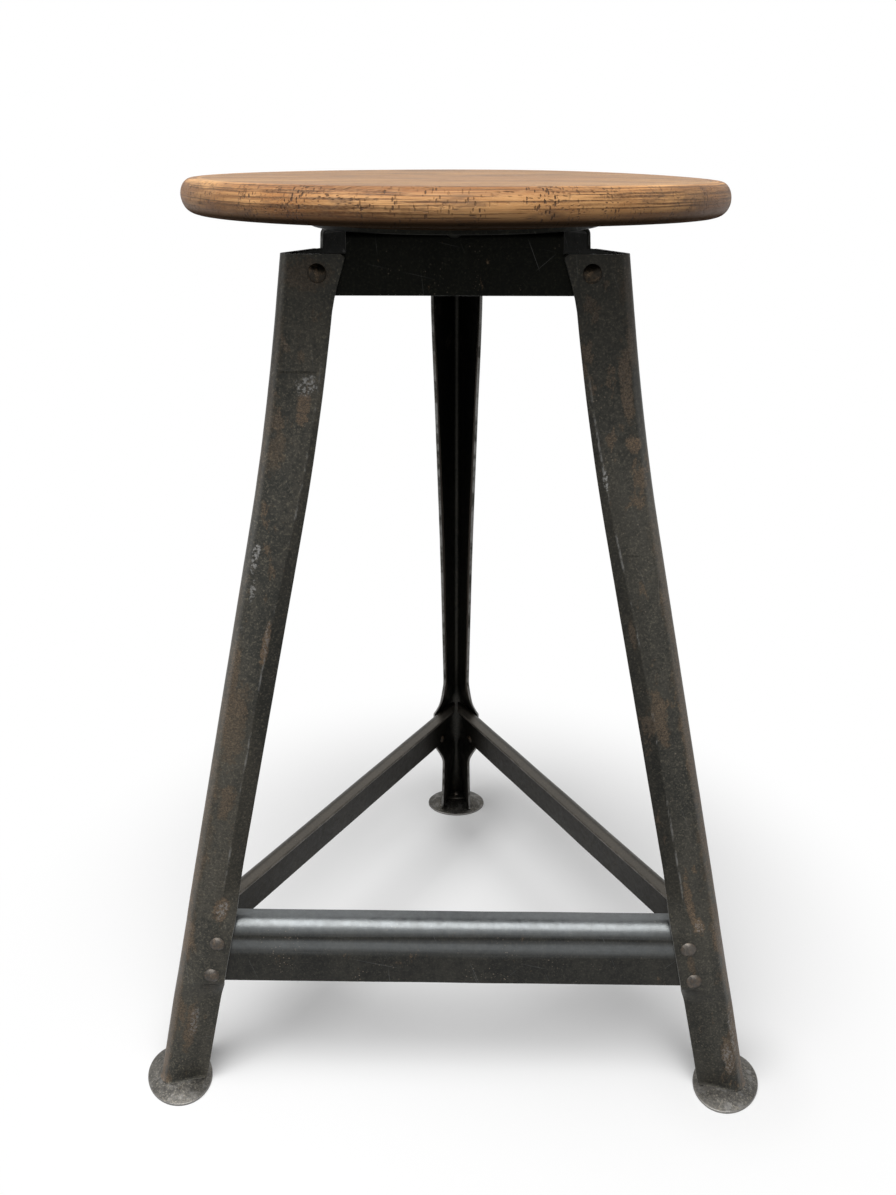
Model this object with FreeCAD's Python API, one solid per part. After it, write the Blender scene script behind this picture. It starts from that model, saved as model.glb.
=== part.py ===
"""Machinist stool: a round wood seat on three folded steel legs tied by a ring of three stretchers.

Millimetres, +Z up, front towards -Y. Pieces are built about the upright axis of the seat, and saved
with the origin on the floor in the middle of the whole stool's width and depth.
The frame repeats every 120 degrees, so each kind of piece is built once and turned into its places.
The side pieces are built for the front side, and the leg and the foot for the rear corner.
"""
import FreeCAD, Part
import math
import os

# Sheet steel used for every pressed piece, and the play of a rivet in its hole
sheet = 2.5
hole_play = 0.05

# Flats that stand for a round: on rivets and screws, round the feet, across the fold of a leg,
# across a quarter of the seat's rim, and at a leg's top corners
fastener_flats = 12
foot_flats = 32
bend_flats = 6
rim_bands = 3
corner_cuts = 3

# Shape of a round head and of a hammered tail, as shares of their radius and height
head_shoulder_out = 0.8
head_shoulder_up = 0.62
head_crown_out = 0.4
tail_crown_out = 0.6

# Wood seat
seat_height = 661.5
seat_radius = 175.0
board_thickness = 20.0
rim_widest_drop = 10.0
rim_top_rounding = 7.5
rim_bottom_rounding = 4.5
boss_radius = 100.0
boss_depth = 6.0
boss_chamfer = 2.0

# Round steel plate under the seat, and the wood screws through it
seat_plate_radius = 95.0
seat_plate_thickness = 3.0
seat_plate_chamfer = 0.6
screw_circle = 79.0
screw_shank_radius = 2.4
screw_length_in_wood = 16.0
pilot_end_play = 1.0
screw_tip = 4.0
screw_tip_radius = 0.4
screw_head_radius = 4.8
screw_head_height = 2.6
screw_slot_width = 1.2
screw_slot_depth = 1.2

# Apron: three side plates that lean out with the legs
apron_slope = 0.08
apron_outer_at_leg_top = 61.96
apron_depth = 37.9
apron_half_width_above_legs = 66.5
apron_half_width_behind_legs = 93.0
apron_shoulder_radius = 1.2
apron_bend_radius = 5.0
apron_flange_inner = 40.0
apron_flange_corner = 13.0
apron_tab_corner = 5.0

# Rivets between the apron flanges and the seat plate
flange_rivet_spacing = 56.0
flange_rivet_inradius = 50.0
flange_rivet_radius = 2.0
flange_rivet_head_radius = 4.0
flange_rivet_head_height = 2.0
flange_rivet_flush_radius = 3.6
flange_rivet_flush_depth = 1.6

# Leg: one steel strip folded to a V, seen here as the line of its fold and the angle it opens
leg_top_drop = 13.2
leg_head_length = 29.3
leg_curve_length = 140.0
leg_slope = 0.123
leg_distance_at_floor = 136.07
leg_bend_radius = 6.0
leg_flat = 29.6
leg_flat_at_top = 34.6
leg_top_corner = 3.0
corner_half_angle = 30.0
closing_start_drop = 30.0
closing_rate = 0.0277

# Ears: the leg is pressed open again to lie flat on the stretchers
ear_start_height = 171.0
joint_top_height = 143.0
joint_bottom_height = 97.5
ear_end_height = 76.0
joint_bend_radius = 12.5
joint_flat = 25.0
joint_offset = 2.85

# Lowest part of the leg, rounder in section, with a tab turned in over the foot
shin_half_angle = 17.0
sole_half_angle = 12.0
sole_bend_radius = 12.0
sole_flat = 22.0
sole_inset = 18.93
tab_inner_end = 246.5
tab_top = 9.0
tab_half_width = 10.5

# Stretchers
stretcher_bottom = 98.5
stretcher_top = 148.0
stretcher_inner = 101.5
stretcher_bend_radius = 12.0
stretcher_half_length = 189.3
stretcher_corner_gap = 1.5
stretcher_end_rounding = 5.0

# Rivets of the legs
rivet_radius = 2.9
rivet_head_radius = 5.6
rivet_head_height = 2.9
rivet_tail_radius = 4.6
rivet_tail_height = 2.3
top_rivet_drop = 11.3
top_rivet_across = 84.3
upper_joint_rivet_height = 131.8
upper_joint_rivet_across = 175.9
lower_joint_rivet_height = 104.4
lower_joint_rivet_across = 181.9

# Feet: oval domed glides
foot_centre = 250.0
foot_half_length = 24.5
foot_half_width = 31.0
foot_rim_height = 1.6
foot_crown = 6.4
foot_sheet = 2.4
foot_lower_band_out = 0.86
foot_lower_band_drop = 0.62
foot_upper_band_out = 0.62
foot_upper_band_drop = 0.22
foot_crown_out = 0.34
foot_rivet_at = 255.5
foot_rivet_radius = 2.2
foot_rivet_head_radius = 3.6
foot_rivet_head_height = 2.2
foot_rivet_tail_radius = 3.3
foot_rivet_tail_height = 2.4

# Heights and planes that follow from those sizes
seat_underside = seat_height - board_thickness
rim_widest_height = seat_height - rim_widest_drop
boss_underside = seat_underside - boss_depth
seat_plate_top = boss_underside
seat_plate_underside = seat_plate_top - seat_plate_thickness
apron_bottom = seat_plate_underside - apron_depth
leg_top = seat_plate_underside - leg_top_drop
top_rivet_height = leg_top - top_rivet_drop
leg_straight_from = leg_top - leg_head_length
leg_straight_below = leg_straight_from - leg_curve_length
closing_from = leg_straight_from - closing_start_drop
apron_plane_at_floor = apron_outer_at_leg_top + apron_slope * leg_top
leg_head_line_at_floor = apron_plane_at_floor + sheet
joint_plane_at_floor = leg_distance_at_floor + joint_offset
stretcher_plane_at_floor = joint_plane_at_floor - sheet
root_three = math.sqrt(3.0)
turns = {"front": 0.0, "right": 120.0, "left": 240.0}
corners = {"rear": 0.0, "front_left": 120.0, "front_right": 240.0}
right_end_corner = {"front": "front_right", "right": "rear", "left": "front_left"}
left_end_corner = {"front": "front_left", "right": "front_right", "left": "rear"}


def vec(x, y, z):
    return FreeCAD.Vector(x, y, z)


def turned(shape, degrees):
    """A copy of the shape, turned about the stool's upright axis."""
    copy = shape.copy()
    copy.rotate(vec(0, 0, 0), vec(0, 0, 1), degrees)
    return copy


def revolved(points):
    """A solid of revolution about the upright axis from an outline in the XZ plane."""
    face = Part.Face(Part.makePolygon(points + points[:1]))
    return face.revolve(vec(0, 0, 0), vec(0, 0, 1), 360)


def skinned(rings):
    """A solid from closed rings of points stacked on each other, joined by flat faces."""
    nearly_flat = 1e-7
    faces = [Part.Face(Part.makePolygon(r + r[:1])) for r in (rings[0], rings[-1])]
    for low, high in zip(rings, rings[1:]):
        for i in range(len(low)):
            a, b, c, d = low[i - 1], low[i], high[i], high[i - 1]
            if abs((b - a).cross(d - a).normalize().dot(c - a)) < nearly_flat:
                faces.append(Part.Face(Part.makePolygon([a, b, c, d, a])))
            else:
                faces.append(Part.Face(Part.makePolygon([a, b, c, a])))
                faces.append(Part.Face(Part.makePolygon([a, c, d, a])))
    shell = Part.makeShell(faces)
    shell.sewShape()
    solid = Part.Solid(shell)
    if solid.Volume < 0:
        solid.reverse()
    return solid


def save(name, shape):
    """The rear foot reaches further from the axis than the front of the seat, hence the shift."""
    rear = foot_centre + foot_half_length
    placed = shape.copy()
    placed.translate(vec(0, (seat_radius - rear) / 2, 0))
    placed.exportStep("parts/" + name + ".step")


# Rivets and screws

def ring(radius, height):
    """The corners of a many-sided outline about the upright axis."""
    step = 2 * math.pi / fastener_flats
    angles = [i * step for i in range(fastener_flats)]
    return [vec(radius * math.cos(a), radius * math.sin(a), height) for a in angles]


def peg(radius, low, high):
    return skinned([ring(radius, low), ring(radius, high)])


def round_head(radius, height, base, up):
    """A low dome in two bands, standing on the base height and rising up or down from it."""
    shoulder = ring(head_shoulder_out * radius, base + up * head_shoulder_up * height)
    crown = ring(head_crown_out * radius, base + up * height)
    return skinned([ring(radius, base), shoulder, crown])


def rivet(radius, grip, head_radius, head_height, tail_radius, tail_height):
    """A rivet with its head on top of z = 0 and its hammered tail below z = -grip."""
    head = round_head(head_radius, head_height, 0, 1)
    tail = skinned([ring(tail_radius, -grip), ring(tail_crown_out * tail_radius, -grip - tail_height)])
    return peg(radius, -grip, 0).fuse([head, tail])


def on_side(shape, across, slope, inradius_at_floor, height):
    """The shape moved so that its z = 0 lies on the leaning front plane and its +Z points out of it."""
    base = vec(across, -(inradius_at_floor - slope * height), height)
    outward = vec(0, -1, slope)
    copy = shape.copy()
    copy.Placement = FreeCAD.Placement(base, FreeCAD.Rotation(vec(0, 0, 1), outward))
    return copy


def side_hole(across, slope, inradius_at_floor, height):
    reach = 4 * sheet
    drill = peg(rivet_radius + hole_play, -reach, reach)
    return on_side(drill, across, slope, inradius_at_floor, height)


def side_rivet(across, slope, inradius_at_floor, height):
    grip = 2 * sheet * math.cos(math.atan(slope))
    solid = rivet(rivet_radius, grip, rivet_head_radius, rivet_head_height, rivet_tail_radius, rivet_tail_height)
    return on_side(solid, across, slope, inradius_at_floor, height)


# Outer planes of the legs on the front side, as their distance from the axis at floor level
top_fixing = (top_rivet_across, apron_slope, leg_head_line_at_floor, top_rivet_height)
upper_fixing = (upper_joint_rivet_across, leg_slope, joint_plane_at_floor, upper_joint_rivet_height)
lower_fixing = (lower_joint_rivet_across, leg_slope, joint_plane_at_floor, lower_joint_rivet_height)


def mirrored(fixing):
    across, slope, plane, height = fixing
    return (-across, slope, plane, height)


# Seat: a thick board with a bullnose rim and a shallow turned boss below

def quarter_bend(start, corner, end):
    """Points of a quarter round from start to end, bulging towards the corner between them."""
    share = 1 - math.sqrt(0.5)
    middle = (start + end) * 0.5
    bulge = corner - middle
    arc = Part.Arc(start, middle + bulge * (1 - 2 * share), end).toShape()
    return arc.discretize(rim_bands + 1)


def seat_outline():
    top_edge = vec(seat_radius - rim_top_rounding, 0, seat_height)
    widest = vec(seat_radius, 0, rim_widest_height)
    bottom_edge = vec(seat_radius - rim_bottom_rounding, 0, seat_underside)
    upper = quarter_bend(top_edge, vec(seat_radius, 0, seat_height), widest)
    lower = quarter_bend(widest, vec(seat_radius, 0, seat_underside), bottom_edge)
    boss = [
        vec(boss_radius, 0, seat_underside),
        vec(boss_radius, 0, boss_underside + boss_chamfer),
        vec(boss_radius - boss_chamfer, 0, boss_underside),
        vec(0, 0, boss_underside),
    ]
    return [vec(0, 0, seat_height)] + upper + lower[1:] + boss


def at_screws(shape):
    """Three copies at the screw places, one in the middle of each side."""
    placed = shape.copy()
    placed.translate(vec(0, -screw_circle, 0))
    return [turned(placed, degrees) for degrees in turns.values()]


def make_seat_board():
    board = revolved(seat_outline())
    pilot = peg(screw_shank_radius + hole_play, boss_underside,
                boss_underside + screw_length_in_wood + pilot_end_play)
    return board.cut(at_screws(pilot))


def make_screw():
    """A round-head wood screw, head below the seat plate and slot across it."""
    tip_end = boss_underside + screw_length_in_wood
    shank = skinned([ring(screw_shank_radius, seat_plate_underside),
                     ring(screw_shank_radius, tip_end - screw_tip),
                     ring(screw_tip_radius, tip_end)])
    head = round_head(screw_head_radius, screw_head_height, seat_plate_underside, -1)
    head_bottom = seat_plate_underside - screw_head_height
    slot = Part.makeBox(4 * screw_head_radius, screw_slot_width, screw_slot_depth,
                        vec(-2 * screw_head_radius, -screw_slot_width / 2, head_bottom))
    return shank.fuse(head).cut(slot)


# Seat plate: a steel disc drilled for the screws and countersunk for the flange rivets

def at_flange_rivets(shape):
    placed = []
    for degrees in turns.values():
        for across in (-flange_rivet_spacing / 2, flange_rivet_spacing / 2):
            copy = shape.copy()
            copy.translate(vec(across, -flange_rivet_inradius, 0))
            placed.append(turned(copy, degrees))
    return placed


def flange_rivet_shank(play):
    """Flush at the top of the seat plate, and straight from there to the underside of the flange."""
    radius = flange_rivet_radius + play
    flush_bottom = seat_plate_top - flange_rivet_flush_depth
    return skinned([ring(radius, seat_plate_underside - sheet),
                    ring(radius, flush_bottom),
                    ring(flange_rivet_flush_radius + play, seat_plate_top)])


def make_flange_rivet():
    head = round_head(flange_rivet_head_radius, flange_rivet_head_height, seat_plate_underside - sheet, -1)
    return flange_rivet_shank(0).fuse(head)


def make_seat_plate():
    plate = Part.makeCylinder(seat_plate_radius, seat_plate_thickness, vec(0, 0, seat_plate_underside))
    lower_rim = [edge for edge in plate.Edges if edge.BoundBox.ZMax < seat_plate_top - seat_plate_chamfer]
    plate = plate.makeChamfer(seat_plate_chamfer, lower_rim)
    screw_hole = peg(screw_shank_radius + hole_play, seat_plate_underside, seat_plate_top)
    return plate.cut(at_screws(screw_hole) + at_flange_rivets(flange_rivet_shank(hole_play)))


# Angle section: a leaning side wall with a flange turned in at its top

def angle_piece(half_length, bottom, top, plane_at_floor, slope, inner, bend):
    """An L section along X on the front side, rounded inside and outside its fold."""
    outline = [
        (plane_at_floor - slope * bottom, bottom),
        (plane_at_floor - slope * top, top),
        (inner, top),
        (inner, top - sheet),
        (plane_at_floor - slope * (top - sheet) - sheet, top - sheet),
        (plane_at_floor - slope * bottom - sheet, bottom),
    ]
    points = [vec(-half_length, -out, height) for out, height in outline]
    face = Part.Face(Part.makePolygon(points + points[:1]))
    solid = face.extrude(vec(2 * half_length, 0, 0))
    outer = [edge for edge in solid.Edges if on_line(edge, outline[1])]
    solid = solid.makeFillet(bend, outer)
    inside = [edge for edge in solid.Edges if on_line(edge, outline[4])]
    return solid.makeFillet(bend - sheet, inside)


def on_line(edge, place):
    """True for the long edge that runs through this distance from the axis and height."""
    return all(abs(v.Y + place[0]) < 0.01 and abs(v.Z - place[1]) < 0.01 for v in edge.Vertexes)


def half_space(point, direction):
    """A big block on the far side of a plane, to cut with."""
    size = seat_height
    block = Part.makeBox(size, size, size, vec(-size / 2, -size / 2, 0))
    block.Placement = FreeCAD.Placement(point, FreeCAD.Rotation(vec(0, 0, 1), direction))
    return block


# Apron side plate, notched above the leg tops, its tabs behind the leg flanges

def apron_notch(side):
    """What is cut away above a tab: a square notch with its inside corner rounded."""
    start = apron_half_width_above_legs
    round_at = start + apron_shoulder_radius
    length = apron_half_width_behind_legs
    depth = 2 * apron_outer_at_leg_top
    height = seat_plate_underside - leg_top
    square = Part.makeBox(length, depth, height, vec(round_at, -depth, leg_top))
    strip = Part.makeBox(length, depth, height, vec(start, -depth, leg_top + apron_shoulder_radius))
    corner = Part.makeCylinder(apron_shoulder_radius, depth,
                               vec(round_at, -depth, leg_top + apron_shoulder_radius), vec(0, 1, 0))
    notch = square.fuse([strip, corner])
    if side < 0:
        notch = notch.mirror(vec(0, 0, 0), vec(1, 0, 0))
    return notch


def make_apron_plate():
    plate = angle_piece(apron_half_width_behind_legs, apron_bottom, seat_plate_underside,
                        apron_plane_at_floor, apron_slope, apron_flange_inner, apron_bend_radius)
    cutters = []
    for side in (-1, 1):
        cutters.append(apron_notch(side))
        inner_corner = vec(side * (apron_half_width_above_legs - apron_flange_corner), -apron_flange_inner, 0)
        cutters.append(half_space(inner_corner, vec(side, 1, 0)))
        tab_corner = vec(side * apron_half_width_behind_legs, 0, apron_bottom + apron_tab_corner)
        cutters.append(half_space(tab_corner, vec(side, 0, -1)))
    plate = plate.cut(cutters)
    holes = [side_hole(*top_fixing), side_hole(*mirrored(top_fixing))]
    flange_hole = peg(flange_rivet_radius + hole_play, seat_plate_underside - 2 * sheet, seat_plate_top)
    for across in (-flange_rivet_spacing / 2, flange_rivet_spacing / 2):
        hole = flange_hole.copy()
        hole.translate(vec(across, -flange_rivet_inradius, 0))
        holes.append(hole)
    return plate.cut(holes).removeSplitter()


# Leg: a folded strip whose V closes on the way down and is pressed open again at the stretchers

def leg_line(height):
    """Distance from the axis to the plane a leg flange would lie in if the V stayed at 60 degrees."""
    upper = leg_head_line_at_floor - apron_slope * height
    lower = leg_distance_at_floor - leg_slope * height
    if height >= leg_straight_from:
        return upper
    if height <= leg_straight_below:
        return lower
    length = leg_straight_from - leg_straight_below
    u = (leg_straight_from - height) / length
    start = leg_head_line_at_floor - apron_slope * leg_straight_from
    end = leg_distance_at_floor - leg_slope * leg_straight_below
    rise = u * u * (3 - 2 * u)
    swing = u * (1 - u) * (1 - u) * apron_slope * length - u * u * (1 - u) * leg_slope * length
    return start + rise * (end - start) + swing


def opened(u):
    """How far an ear is open, slow at first and fastest where it reaches the stretchers."""
    u = max(0.0, min(1.0, u))
    return u * u


def leg_section(height):
    """The fold's centre distance, half the V's angle, the flat's length and the fold's radius."""
    line_here = leg_line(height)
    half_angle = corner_half_angle - closing_rate * max(0.0, closing_from - height)
    half_angle = max(half_angle, shin_half_angle)
    centre = 2 * line_here - 2 * leg_bend_radius
    flat = leg_flat
    bend = leg_bend_radius
    if height > leg_straight_from:
        share = (height - leg_straight_from) / (leg_top - leg_straight_from)
        flat = leg_flat + share * (leg_flat_at_top - leg_flat)
    if height < ear_end_height:
        share = 1 - height / ear_end_height
        half_angle = half_angle + share * (sole_half_angle - half_angle)
        bend = leg_bend_radius + share * (sole_bend_radius - leg_bend_radius)
        flat = leg_flat + share * (sole_flat - leg_flat)
        centre = centre + share * (2 * line_here - sole_inset - centre)
    open_above = opened((ear_start_height - height) / (ear_start_height - joint_top_height))
    open_below = opened((height - ear_end_height) / (joint_bottom_height - ear_end_height))
    opening = min(open_above, open_below)
    joint_centre = 2 * (joint_plane_at_floor - leg_slope * height) - 2 * joint_bend_radius
    centre = centre + opening * (joint_centre - centre)
    half_angle = half_angle + opening * (corner_half_angle - half_angle)
    flat = flat + opening * (joint_flat - flat)
    bend = bend + opening * (joint_bend_radius - bend)
    return centre, half_angle, flat, bend


def fold_points(centre, half_angle, radius, height):
    """Points round a fold from its right flank over its outer side to its left flank."""
    turn = math.radians(90 - half_angle)
    angles = [math.pi / 2 - turn + 2 * turn * i / bend_flats for i in range(bend_flats + 1)]
    return [vec(radius * math.cos(a), centre + radius * math.sin(a), height) for a in angles]


def leg_ring(height):
    """The outline of the folded strip at one height, for the rear leg."""
    centre, half_angle, flat, bend = leg_section(height)
    angle = math.radians(half_angle)
    right = vec(math.sin(angle), -math.cos(angle), 0) * flat
    left = vec(-right.x, right.y, 0)
    outer = fold_points(centre, half_angle, bend, height)
    inner = fold_points(centre, half_angle, bend - sheet, height)
    inner.reverse()
    return [outer[0] + right] + outer + [outer[-1] + left, inner[0] + left] + inner + [inner[-1] + right]


def stations(start, end, count):
    return [start + (end - start) * i / count for i in range(count + 1)]


def make_leg():
    heights = [leg_top]
    heights += stations(leg_straight_from, leg_straight_below, 6)
    heights += stations(ear_start_height, joint_top_height, 4)
    heights += stations(joint_bottom_height, ear_end_height, 3)
    heights += [0.0]
    leg = skinned([leg_ring(h) for h in heights])
    centre, half_angle, flat, bend = leg_section(tab_top)
    tab = Part.makeBox(2 * tab_half_width, centre + bend - sheet / 2 - tab_inner_end, tab_top,
                       vec(-tab_half_width, tab_inner_end, 0))
    inside = skinned([sole_ring(h) for h in (tab_top, 0.0)])
    leg = leg.fuse(tab.common(inside)).cut(foot_envelope())
    holes = []
    for fixing in (top_fixing, upper_fixing, lower_fixing):
        holes.append(turned(side_hole(*fixing), turns["right"]))
        holes.append(turned(side_hole(*mirrored(fixing)), turns["left"]))
    holes.append(foot_rivet_hole())
    return leg.cut(holes + top_corner_cutters())


def top_corner_cutters():
    """Flat cuts across the top of each flange's free edge, which together round it."""
    centre, half_angle, flat, bend = leg_section(leg_top)
    angle = math.radians(half_angle)
    up = vec(0, 0, 1)
    cutters = []
    for side in (-1, 1):
        away = vec(side * math.cos(angle), math.sin(angle), 0)
        along = vec(side * math.sin(angle), -math.cos(angle), 0)
        corner = vec(0, centre, leg_top) + away * bend + along * flat
        middle = corner - (along + up) * leg_top_corner
        for cut in range(1, corner_cuts + 1):
            tilt = math.radians(90 * cut / (corner_cuts + 1))
            outward = along * math.cos(tilt) + up * math.sin(tilt)
            cutters.append(half_space(middle + outward * leg_top_corner, outward))
    return cutters


def sole_ring(height):
    """The outline enclosed by the middle of the leg's sheet near the foot."""
    centre, half_angle, flat, bend = leg_section(height)
    angle = math.radians(half_angle)
    right = vec(math.sin(angle), -math.cos(angle), 0) * flat
    left = vec(-right.x, right.y, 0)
    fold = fold_points(centre, half_angle, bend - sheet / 2, height)
    return [fold[0] + right] + fold + [fold[-1] + left]


# Stretcher: an angle with its wall against the opened leg flanges and its top turned in

def make_stretcher():
    rail = angle_piece(stretcher_half_length, stretcher_bottom, stretcher_top,
                       stretcher_plane_at_floor, leg_slope, stretcher_inner, stretcher_bend_radius)
    cutters = []
    for side in (-1, 1):
        along_corner = vec(side * root_three / 2, -0.5, 0)
        across_corner = vec(side * 0.5, root_three / 2, 0)
        point = along_corner * 2 * stretcher_inner - across_corner * stretcher_corner_gap
        cutters.append(half_space(point, across_corner))
        low_corner = vec(side * stretcher_half_length, 0, stretcher_bottom + stretcher_end_rounding)
        cutters.append(half_space(low_corner, vec(side, 0, -1)))
    holes = []
    for fixing in (upper_fixing, lower_fixing):
        holes.append(side_hole(*fixing))
        holes.append(side_hole(*mirrored(fixing)))
    return rail.cut(cutters + holes).removeSplitter()


# Foot: an oval domed glide pressed from sheet, with the rivet that holds it to the leg's tab

def oval(share, height, inset):
    """A many-sided oval round the foot's centre, drawn in to a share of its width and depth."""
    step = 2 * math.pi / foot_flats
    width = share * (foot_half_width - inset)
    depth = share * (foot_half_length - inset)
    angles = [i * step for i in range(foot_flats)]
    return [vec(width * math.cos(a), foot_centre + depth * math.sin(a), height) for a in angles]


def dome(inset, crown):
    """The shape of the foot: an upright rim, then three bands rising to a flat crown."""
    rise = foot_crown - foot_rim_height
    return skinned([
        oval(1.0, 0, inset),
        oval(1.0, crown - rise, inset),
        oval(foot_lower_band_out, crown - foot_lower_band_drop * rise, inset),
        oval(foot_upper_band_out, crown - foot_upper_band_drop * rise, inset),
        oval(foot_crown_out, crown, inset),
    ])


def foot_envelope():
    return dome(0.0, foot_crown)


def foot_rivet_hole():
    hole = peg(foot_rivet_radius + hole_play, -tab_top, 2 * tab_top)
    hole.translate(vec(0, foot_rivet_at, 0))
    return hole


def make_foot():
    hollow = dome(foot_sheet, foot_crown - foot_sheet)
    return foot_envelope().cut([hollow, foot_rivet_hole()])


def make_foot_rivet(foot):
    """Its tail starts inside the dome's sheet, and the foot's own shape trims it to the hollow."""
    tail_start = foot_crown - foot_sheet
    solid = rivet(foot_rivet_radius, tab_top - tail_start, foot_rivet_head_radius, foot_rivet_head_height,
                  foot_rivet_tail_radius, foot_rivet_tail_height)
    solid.translate(vec(0, foot_rivet_at, tab_top))
    return solid.cut(foot)


os.makedirs("parts", exist_ok=True)

save("seat_board", make_seat_board())
save("seat_plate", make_seat_plate())
save("seat_screws", Part.makeCompound(at_screws(make_screw())))
save("apron_flange_rivets", Part.makeCompound(at_flange_rivets(make_flange_rivet())))

apron_plate = make_apron_plate()
stretcher = make_stretcher()
for side, degrees in turns.items():
    save("apron_" + side, turned(apron_plate, degrees))
    save("stretcher_" + side, turned(stretcher, degrees))
    right_pair = [side_rivet(*upper_fixing), side_rivet(*lower_fixing)]
    left_pair = [side_rivet(*mirrored(upper_fixing)), side_rivet(*mirrored(lower_fixing))]
    right_name = "stretcher_" + side + "_rivets_" + right_end_corner[side]
    left_name = "stretcher_" + side + "_rivets_" + left_end_corner[side]
    save(right_name, turned(Part.makeCompound(right_pair), degrees))
    save(left_name, turned(Part.makeCompound(left_pair), degrees))

leg = make_leg()
foot = make_foot()
foot_rivet = make_foot_rivet(foot)
top_pair = Part.makeCompound([
    turned(side_rivet(*top_fixing), turns["right"]),
    turned(side_rivet(*mirrored(top_fixing)), turns["left"]),
])
for corner, degrees in corners.items():
    save("leg_" + corner, turned(leg, degrees))
    save("leg_top_rivets_" + corner, turned(top_pair, degrees))
    save("foot_" + corner, turned(foot, degrees))
    save("foot_rivet_" + corner, turned(foot_rivet, degrees))
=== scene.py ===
import math
import bpy
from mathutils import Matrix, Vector, noise


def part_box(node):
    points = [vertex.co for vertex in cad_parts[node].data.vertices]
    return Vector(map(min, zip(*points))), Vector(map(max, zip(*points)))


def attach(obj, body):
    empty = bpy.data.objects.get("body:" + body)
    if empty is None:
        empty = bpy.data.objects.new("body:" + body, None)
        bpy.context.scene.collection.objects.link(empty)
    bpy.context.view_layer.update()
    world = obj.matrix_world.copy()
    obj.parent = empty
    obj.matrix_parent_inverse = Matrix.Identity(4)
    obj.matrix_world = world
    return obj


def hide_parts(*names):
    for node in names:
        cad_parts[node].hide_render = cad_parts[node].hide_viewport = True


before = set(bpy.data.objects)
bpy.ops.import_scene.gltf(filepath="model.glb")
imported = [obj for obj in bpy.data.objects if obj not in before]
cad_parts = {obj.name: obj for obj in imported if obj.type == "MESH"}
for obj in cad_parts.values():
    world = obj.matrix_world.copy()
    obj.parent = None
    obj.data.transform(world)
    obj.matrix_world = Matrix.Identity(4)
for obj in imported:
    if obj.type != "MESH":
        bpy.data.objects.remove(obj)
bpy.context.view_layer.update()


# The view.
# The stool is seen from just in front and from a little above the seat, looking down its legs.
seat_low, seat_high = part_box("seat_board")
axis_y = (seat_low.y + seat_high.y) / 2
view_height = 0.6822
view_in_front = 0.7247
view_to_right = 0.0070
view_down = math.radians(23.78)
view_turned = math.radians(0.95)

view_data = bpy.data.cameras.new("stool_view")
view_data.sensor_fit = "HORIZONTAL"
view_data.sensor_width = 36.0
view_data.lens = 41.62
view_data.clip_start = 0.01
view_data.clip_end = 50.0
stool_view = bpy.data.objects.new("stool_view", view_data)
stool_view.location = (view_to_right, axis_y - view_in_front, view_height)
stool_view.rotation_euler = (math.pi / 2 - view_down, 0.0, view_turned)
bpy.context.scene.collection.objects.link(stool_view)
bpy.context.scene.camera = stool_view
bpy.context.scene.view_settings.view_transform = "Standard"


# The white room.
# A dim even fill, and white wherever the camera, polished steel or glass looks past the stool.
pure_white = (1.0, 1.0, 1.0, 1.0)
fill_strength = 0.22
seen_strength = 1.0


def add(tree, kind, sockets=None, **settings):
    """A shader node with its settings; a socket takes a number, a colour or another node's output."""
    made = tree.nodes.new("ShaderNode" + kind)
    for name, value in settings.items():
        setattr(made, name, value)
    for name, value in (sockets or {}).items():
        if isinstance(value, bpy.types.NodeSocket):
            tree.links.new(value, made.inputs[name])
        else:
            made.inputs[name].default_value = value
    return made


def tree_of(*values):
    """The shader tree that the first socket among some values belongs to."""
    return next(value.id_data for value in values if isinstance(value, bpy.types.NodeSocket))


def reckon(operation, *values):
    return add(tree_of(*values), "Math", dict(enumerate(values)), operation=operation).outputs[0]


def larger(a, b):
    return reckon("MAXIMUM", a, b)


def seen_rays(tree):
    """1 for what the camera sees, directly, mirrored or through glass."""
    rays = add(tree, "LightPath").outputs
    thrown_on = larger(rays["Is Glossy Ray"], rays["Is Transmission Ray"])
    return larger(rays["Is Camera Ray"], thrown_on)


room = bpy.data.worlds.new("white_room")
room.use_nodes = True
bpy.context.scene.world = room
tree = room.node_tree
tree.nodes.clear()
fill = add(tree, "Background", {"Color": pure_white, "Strength": fill_strength})
white = add(tree, "Background", {"Color": pure_white, "Strength": seen_strength})
both = add(tree, "MixShader", {0: seen_rays(tree), 1: fill.outputs[0], 2: white.outputs[0]})
add(tree, "OutputWorld", {"Surface": both.outputs[0]})


# The lamps.
# One large soft box hangs above and in front of the stool, and a weak one fills from the left.
def soft_box(name, place, width, depth, watts):
    data = bpy.data.lights.new(name, "AREA")
    data.shape = "RECTANGLE"
    data.size = width
    data.size_y = depth
    data.energy = watts
    lamp = bpy.data.objects.new(name, data)
    lamp.location = place
    middle_of_stool = Vector((0.0, axis_y, 0.4))
    lamp.rotation_euler = (middle_of_stool - Vector(place)).to_track_quat("-Z", "Y").to_euler()
    bpy.context.scene.collection.objects.link(lamp)


soft_box("high_front_box", (-0.3, axis_y - 0.9, 2.25), width=2.6, depth=1.8, watts=66.0)
soft_box("left_fill_box", (-2.4, axis_y - 1.2, 1.3), width=1.2, depth=1.6, watts=7.0)


# The floor.
# A white paper sheet that keeps the stool's shadow and runs out to pure white around it.
floor_reach = 12.0
shadow_middle = (0.0, axis_y + 0.06, 0.0)
shadow_ends = (0.17, 0.46)
shadow_white = 0.10
under_stool_light_reach = 0.20
under_stool_painted_light = 0.52
foot_shadow_ends = (0.030, 0.085)
foot_shadow_white = 0.15
paper_seen = (0.92, 0.92, 0.92, 1.0)
paper_unseen = (0.12, 0.12, 0.12, 1.0)


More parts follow.
